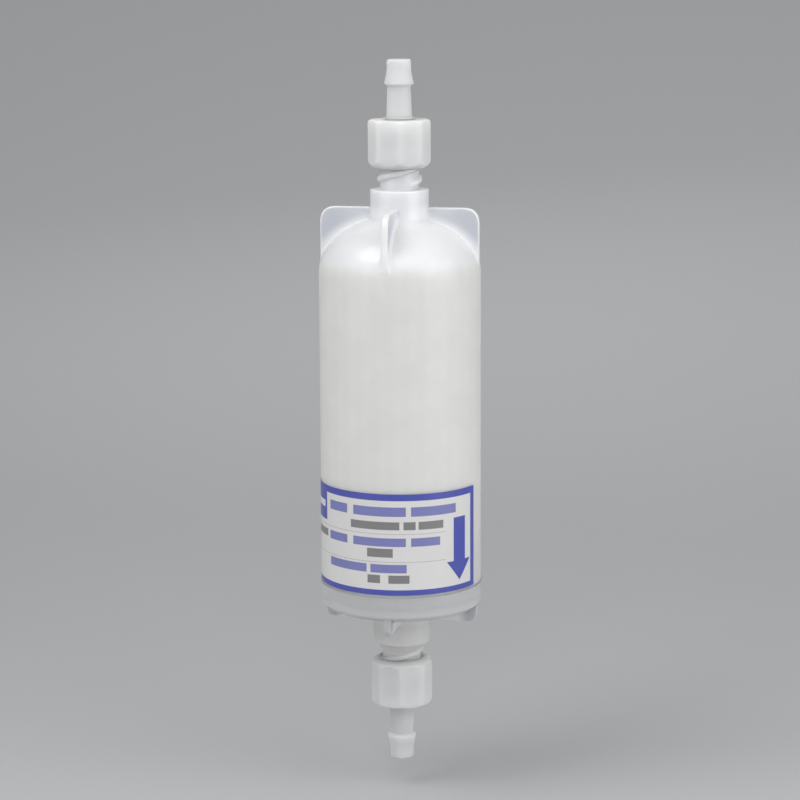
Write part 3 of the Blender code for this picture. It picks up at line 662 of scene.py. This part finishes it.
def shell_looks():
    """Milky polypropylene: the pack shows faintly through as stripes of painted pleat shadow, and the
    empty dome is cooler. Painted shade darkens the barrel and the cap's ring downwards, and painted
    light lifts the weld seam and the collar under the cap.
    """
    looks = Looks("milky_shell", Subsurface_Weight=0.9, Subsurface_Scale=0.0033,
                  Transmission_Weight=0.12, Coat_Roughness=0.12, **MILKY)
    # Heights in millimetres over which one tone goes over to another
    pack_top, pack_foot, body_painted_shade = (91.9, 89.9), (31.0, 36.0), (52.0, 36.0)
    dome_top, cap_top, cap_foot = (97.0, 100.5), (40.0, 34.0), (28.0, 27.0)
    ring_painted_shade, collar_painted_light = (31.3, 30.4), (27.0, 24.8)
    seam_light_low, seam_light_high, dome_gloss = (32.3, 33.0), (33.7, 33.4), (88.0, 92.0)
    spot = looks.place()
    x, y, z = looks.parts(spot)
    clouds = looks.noise(spot, 6.0, 3.0)
    # Painted shadow: faint stripes, one for each pleat, stand for the shade of the pleat pack seen
    # through the wall.
    angle = looks.maths("ARCTAN2", y, x)
    folds = looks.maths("SINE", looks.maths("MULTIPLY", angle, PLEATS))
    folds = looks.maths("MULTIPLY_ADD", folds, 0.5, 0.5)
    wavy = looks.maths("MULTIPLY_ADD", looks.noise(spot, 4.0), 2.4, z)
    packed = looks.maths("MULTIPLY", looks.ramp(wavy, *pack_top), looks.ramp(z, *pack_foot))
    body = looks.mix(looks.ramp(clouds, 0.35, 0.65), (0.80, 0.80, 0.765), (0.83, 0.83, 0.795))
    body = looks.mix(looks.maths("MULTIPLY", folds, 0.2), body, (0.75, 0.752, 0.73))
    # Painted shade: the barrel gets darker towards its bottom, standing for the light falling off
    # downwards.
    body = looks.mix(looks.ramp(z, *body_painted_shade), body, (0.685, 0.687, 0.685))
    clear = looks.mix(looks.ramp(clouds, 0.3, 0.7), (0.85, 0.853, 0.865), (0.885, 0.888, 0.905))
    clear = looks.mix(looks.ramp(z, *dome_top), clear, (0.75, 0.755, 0.775))
    # Painted shade: the cap's ring gets darker towards its foot, where it turns under.
    ring = looks.mix(looks.ramp(z, *ring_painted_shade), (0.71, 0.712, 0.715), (0.615, 0.617, 0.62))
    # Painted light: the outlet collar is much lighter just under the cap, to lift the shade there, and
    # plainer further down.
    collar = looks.mix(looks.ramp(z, *collar_painted_light), (0.91, 0.91, 0.905), (0.69, 0.69, 0.685))
    low = looks.mix(looks.ramp(z, *cap_foot), ring, collar)
    # Painted light: a strip at the weld seam is lighter, to lift the shadow under the label's edge and
    # in the seam's groove.
    weld = looks.maths("MULTIPLY", looks.ramp(z, *seam_light_low), looks.ramp(z, *seam_light_high))
    low = looks.mix(weld, low, (0.94, 0.94, 0.945))
    cool = looks.mix(looks.ramp(z, *cap_top), clear, low)
    looks.shade("Base Color", looks.mix(packed, cool, body))
    looks.shade("Roughness", looks.ramp(clouds, 0.3, 0.7, 0.33, 0.39))
    looks.shade("Coat Weight", looks.ramp(z, *dome_gloss, 0.0, 0.5))
    looks.bump(looks.noise(spot, 0.35, 3.0), 0.02, 0.15)
    return looks.material


def fin_looks():
    """The same plastic where it is thin, with painted shade and light: darker and cooler towards the
    fins' outer edges, a painted glow towards the dome, and painted light near the lower collar.
    """
    looks = Looks("thin_fin", Subsurface_Weight=0.8, Subsurface_Scale=0.002,
                  Transmission_Weight=0.15, **MILKY)
    # Shares of the housing's radius, and of the dome's size, over which the tones change
    fin_span, collar_light_span, dome_glow_span = (0.92, 0.36), (0.72, 0.86), (1.0, 1.17)
    # Heights in millimetres between the upper fins and the lower ones
    low_fins = (60.0, 40.0)
    spot = looks.place()
    x, y, z = looks.parts(spot)
    clouds = looks.noise(spot, 5.0, 3.0)
    across = looks.length(looks.node("CombineXYZ", x, y).outputs[0])
    across = looks.maths("DIVIDE", across, HOUSING_RADIUS)
    above = looks.maths("SUBTRACT", z, DOME_START)
    above = looks.maths("DIVIDE", looks.maths("MAXIMUM", above, 0.0), DOME_RISE)
    off_dome = looks.length(looks.node("CombineXYZ", across, above).outputs[0])
    # Painted shade: the thin plate is darker and cooler towards its outer edge than near the wall.
    outer = looks.mix(clouds, (0.55, 0.57, 0.625), (0.595, 0.615, 0.665))
    inner = looks.mix(clouds, (0.66, 0.68, 0.73), (0.715, 0.735, 0.775))
    thin = looks.mix(looks.ramp(across, *fin_span), outer, inner)
    # Painted light: the upper fins grow whiter towards the dome, a painted glow of light coming through
    # it.
    upper = looks.mix(looks.ramp(off_dome, *dome_glow_span), (0.89, 0.895, 0.91), thin)
    # Painted light and shade: the lower fins are lighter near the collar, to lift the shade under the
    # cap, and painted darker further out.
    lower = looks.mix(looks.ramp(across, *collar_light_span), (0.86, 0.86, 0.865), (0.52, 0.53, 0.555))
    looks.shade("Base Color", looks.mix(looks.ramp(z, *low_fins), upper, lower))
    looks.shade("Roughness", looks.ramp(clouds, 0.3, 0.7, 0.31, 0.40))
    looks.bump(looks.noise(spot, 0.35, 3.0), 0.02, 0.15)
    return looks.material


def fitting_looks(name, darkest, lightest):
    """Moulded natural polypropylene, denser and whiter than the thin shell."""
    looks = Looks(name, Subsurface_Weight=0.9, Subsurface_Scale=0.0042,
                  Transmission_Weight=0.2, **MILKY)
    spot = looks.place()
    clouds = looks.noise(spot, 2.5, 3.0)
    looks.shade("Base Color", looks.mix(clouds, darkest, lightest))
    looks.shade("Roughness", looks.ramp(clouds, 0.3, 0.7, 0.46, 0.56))
    looks.bump(looks.noise(spot, 0.25, 3.0), 0.02, 0.25)
    return looks.material


# Fields of print on the label, as (left, right, low, high, how dark the ink looks)
BLUE_FIELDS = (
    (-80.0, 20.0, 50.05, 52.0, 1.0), (14.3, 20.0, 33.0, 52.0, 1.0), (-80.0, 20.0, 33.0, 34.35, 1.0),
    (-50.0, -45.0, 33.0, 52.0, 1.0), (-40.0, -16.1, 45.05, 51.0, 1.0),
    (-14.8, -10.1, 47.3, 48.95, 0.8), (-8.75, 0.82, 47.3, 48.95, 0.8), (1.7, 10.3, 47.3, 48.95, 0.8),
    (-14.9, -10.1, 42.0, 43.5, 0.8), (-8.8, 0.8, 42.0, 43.5, 0.8), (1.7, 6.96, 42.0, 43.5, 0.8),
    (-14.75, -6.16, 37.35, 38.85, 0.8), (-5.45, 0.92, 37.35, 38.85, 0.8),
    (9.8, 12.66, 38.6, 46.4, 1.0),
)
BLACK_FIELDS = (
    (-9.3, -0.3, 44.95, 46.35, 0.75), (0.4, 2.5, 44.95, 46.35, 0.75), (3.0, 7.6, 44.95, 46.35, 0.75),
    (-6.05, -1.45, 40.1, 41.65, 0.75), (-6.0, -3.7, 35.5, 36.95, 0.75), (-2.25, 1.4, 35.5, 36.95, 0.75),
    (-24.0, -15.7, 42.2, 43.5, 0.75), (-38.0, -26.0, 42.2, 43.5, 0.75),
    (-40.0, 8.14, 44.15, 44.27, 0.35), (-40.0, 8.14, 39.2, 39.32, 0.35),
)
PALE_FIELDS = ((-37.5, -16.9, 47.2, 48.4, 0.9),)


def field_group():
    """A node group that gives how much of a point lies in a rectangle, with soft edges."""
    group = bpy.data.node_groups.new("print_field", "ShaderNodeTree")
    for name in ("U", "V", "Left", "Right", "Low", "High", "Ink"):
        group.interface.new_socket(name, in_out="INPUT", socket_type="NodeSocketFloat")
    group.interface.new_socket("Share", in_out="OUTPUT", socket_type="NodeSocketFloat")
    given = group.nodes.new("NodeGroupInput").outputs
    result = group.nodes.new("NodeGroupOutput").inputs
    field = Nodes(group)

    def depth(value, low, high):
        past_low = field.maths("SUBTRACT", given[value], given[low])
        short_of_high = field.maths("SUBTRACT", given[high], given[value])
        return field.maths("MINIMUM", past_low, short_of_high)

    inside = field.maths("MINIMUM", depth("U", "Left", "Right"), depth("V", "Low", "High"))
    share = field.maths("MULTIPLY_ADD", inside, PRINT_SHARPNESS, 0.5, clamp=True)
    field.join(field.maths("MULTIPLY", share, given["Ink"]), result["Share"])
    return group


def label_looks():
    """White film printed with blue borders, an arrow, and bars in place of its lines of print."""
    looks = Looks("printed_film", IOR=1.5)
    arrow_middle, arrow_tip, head_top, head_slope = 11.2, 35.16, 38.7, 1.23
    spot = looks.place()
    u, v, _ = looks.parts(looks.node("UVMap", uv_map="print").outputs[0])
    group = field_group()

    def printed(fields):
        """How much ink of one colour a point has."""
        shares = [looks.node("Group", u, v, *field, node_tree=group).outputs[0]
                  for field in fields]
        total = shares[0]
        for share in shares[1:]:
            total = looks.maths("MAXIMUM", total, share)
        return total

    aside = looks.maths("ABSOLUTE", looks.maths("SUBTRACT", u, arrow_middle))
    slope = looks.maths("MULTIPLY_ADD", aside, -head_slope, v)
    head = looks.maths("MINIMUM", looks.maths("SUBTRACT", slope, arrow_tip),
                       looks.maths("SUBTRACT", head_top, v))
    head = looks.maths("MULTIPLY_ADD", head, PRINT_SHARPNESS, 0.5, clamp=True)
    blue = looks.maths("MAXIMUM", printed(BLUE_FIELDS), head)
    paper = looks.mix(looks.noise(spot, 3.0), (0.635, 0.632, 0.627), (0.675, 0.672, 0.667))
    ink = looks.noise(spot, 0.5, 3.0)
    blue_ink = looks.mix(ink, (0.058, 0.075, 0.36), (0.075, 0.092, 0.40))
    colour = looks.mix(blue, paper, blue_ink)
    colour = looks.mix(printed(BLACK_FIELDS), colour, (0.05, 0.05, 0.055))
    colour = looks.mix(printed(PALE_FIELDS), colour, (0.70, 0.72, 0.78))
    looks.shade("Base Color", colour)
    looks.shade("Roughness", looks.ramp(ink, 0.3, 0.7, 0.28, 0.40))
    looks.bump(looks.noise(spot, 2.0, 2.0), 0.03, 0.4)
    return looks.material


def media_looks():
    """Pleated fleece with fine fibres."""
    looks = Looks("pleated_fleece", Roughness=0.9)
    fibres = looks.noise(looks.place(), 0.12, 4.0, 0.7)
    looks.shade("Base Color", looks.mix(fibres, (0.70, 0.70, 0.66), (0.86, 0.86, 0.83)))
    looks.bump(fibres, 0.05, 0.6)
    return looks.material


def cartridge_looks():
    """Plain off-white plastic of the core, the cage and the cartridge's caps."""
    looks = Looks("cartridge_plastic")
    spot = looks.place()
    clouds = looks.noise(spot, 3.0, 3.0)
    looks.shade("Base Color", looks.mix(clouds, (0.74, 0.74, 0.72), (0.80, 0.80, 0.78)))
    looks.shade("Roughness", looks.ramp(clouds, 0.3, 0.7, 0.44, 0.56))
    looks.bump(looks.noise(spot, 0.3, 2.0), 0.02, 0.3)
    return looks.material


def floor_looks():
    """Pale grey that gets lighter towards the back and far away."""
    looks = Looks("studio_floor", Roughness=0.8)
    behind, far_away = (60.0, 500.0), (800.0, 1600.0)
    spot = looks.place()
    near = looks.mix(looks.noise(spot, 40.0), (0.435, 0.44, 0.45), (0.45, 0.455, 0.465))
    middle = looks.mix(looks.ramp(looks.parts(spot)[1], *behind), near, (0.66, 0.665, 0.675))
    far = looks.ramp(looks.length(spot), *far_away)
    looks.shade("Base Color", looks.mix(far, middle, (0.85, 0.855, 0.865)))
    looks.bump(looks.noise(spot, 1.5, 2.0), 0.02, 0.1)
    return looks.material


def dress(piece, material, body, slot, *nodes):
    """Gives a piece its material and body, and hides the CAD nodes it stands for. The slot argument is
    not used.
    """
    if material:
        piece.data.materials.append(material)
    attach(piece, body)
    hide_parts(*nodes)


def floor_and_backdrop():
    """A wide floor that curves up into a backdrop behind the object.

    It lies just below the outlet barb's lowest place, because the barb draws out downwards.
    """
    reach, bend_start, bend_radius, bend_steps, wall_top = 8000, 200, 800, 32, 1800
    line = [(-reach, 0)]
    line += [(bend_start + bend_radius * math.sin(a), bend_radius - bend_radius * math.cos(a))
             for a in np.linspace(0, TURN / 4, bend_steps + 1)]
    line += [(bend_start + bend_radius, wall_top)]
    points = [(side, y, z - FLOOR_DROP) for y, z in line for side in (-reach, reach)]
    faces = [(2 * k, 2 * k + 1, 2 * k + 3, 2 * k + 2) for k in range(len(line) - 1)]
    floor = mesh_object("studio_floor", points, faces, sharp_degrees=60)
    floor.data.materials.append(floor_looks())


def softbox(name, place, side, power):
    """A square lamp that points at the object."""
    light = bpy.data.lights.new(name, "AREA")
    light.shape, light.size, light.energy = "SQUARE", side, power
    lamp = bpy.data.objects.new(name, light)
    lamp.location = place
    lamp.rotation_euler = (Vector(LAMP_AIM) - Vector(place)).to_track_quat("-Z", "Y").to_euler()
    bpy.context.scene.collection.objects.link(lamp)


def camera():
    """The photograph's view: from the front, a little to the right and above."""
    turn, rise, lean = math.radians(10.6), math.radians(10.3), math.radians(-0.28)
    aim_height, distance, picture_width = 0.0651, 0.439, 800
    back = Vector((math.sin(turn) * math.cos(rise), -math.cos(turn) * math.cos(rise),
                   math.sin(rise)))
    lens = bpy.data.cameras.new("camera")
    lens.lens, lens.sensor_width, lens.clip_start = 112.5, 36, 0.01
    view = bpy.data.objects.new("camera", lens)
    aim = back.to_track_quat("Z", "Y").to_matrix().to_4x4()
    view.matrix_world = (Matrix.Translation(Vector((0, 0, aim_height)) + back * distance)
                         @ aim @ Matrix.Rotation(lean, 4, "Z"))
    # The object's axis stands half a pixel right of the picture's middle
    lens.shift_x = -0.5 / picture_width
    bpy.context.scene.collection.objects.link(view)
    bpy.context.scene.camera = view


def world_light():
    """Even white light from all round."""
    world = bpy.data.worlds.new("studio")
    world.use_nodes = True
    background = world.node_tree.nodes["Background"]
    background.inputs["Color"].default_value = (1, 1, 1, 1)
    background.inputs["Strength"].default_value = 0.38
    bpy.context.scene.world = world


shell_plastics = shell_looks(), fin_looks()
nut_white = fitting_looks("nut_white", (0.84, 0.838, 0.83), (0.88, 0.878, 0.87))
barb_white = fitting_looks("barb_white", (0.80, 0.80, 0.80), (0.84, 0.84, 0.84))

inlet_port = Matrix.Translation((0, 0, (INLET_FACE + INLET_TRAVEL) * MM))
outlet_port = Matrix.Translation((0, 0, OUTLET_FACE * MM)) @ Matrix.Rotation(math.pi, 4, "X")

bowl = make_bowl(shell_plastics)
cap = make_cap(shell_plastics)
inlet_nut = make_nut("nut_inlet", FRONT_ANGLE, inlet_port)
outlet_nut = make_nut("nut_outlet", -FRONT_ANGLE, outlet_port)
inlet_barb = make_barb("barb_inlet", inlet_port)
outlet_barb = make_barb("barb_outlet", outlet_port)
label = make_label()
pleats = make_pleats()

# The two shells have their materials already, from when their fins were joined on
dress(bowl, None, "housing", "shell", "housing_bowl")
dress(cap, None, "housing", "shell", "end_cap")
dress(label, label_looks(), "housing", "label_film", "label")
dress(pleats, media_looks(), "housing", "filter_media", "pleated_media")
dress(inlet_nut, nut_white, "inlet_lock", "fitting", "inlet_nut")
dress(inlet_barb, barb_white, "inlet_fitting", "fitting", "inlet_barb")
dress(outlet_nut, nut_white, "outlet_lock", "fitting", "outlet_nut")
dress(outlet_barb, barb_white, "outlet_fitting", "fitting", "outlet_barb")
cartridge = cartridge_looks()
for node_name in ("core_tube", "outer_cage", "cartridge_top_cap", "cartridge_bottom_cap"):
    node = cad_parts[node_name]
    node.data.materials.clear()
    node.data.materials.append(cartridge)

floor_and_backdrop()
world_light()
softbox("left", (-0.25, -0.242, 0.158), 0.3, 0.36)
softbox("right", (0.32, -0.136, 0.158), 0.3, 0.72)
softbox("high_left", (-0.141, -0.127, 0.347), 0.18, 0.46)
softbox("high_right", (0.161, -0.101, 0.347), 0.22, 0.15)
softbox("front", (0.055, -0.292, 0.362), 0.2, 0.24)
softbox("back", (-0.09, 0.36, 0.29), 0.3, 0.14)
camera()

bpy.context.scene.view_settings.view_transform = "Standard"
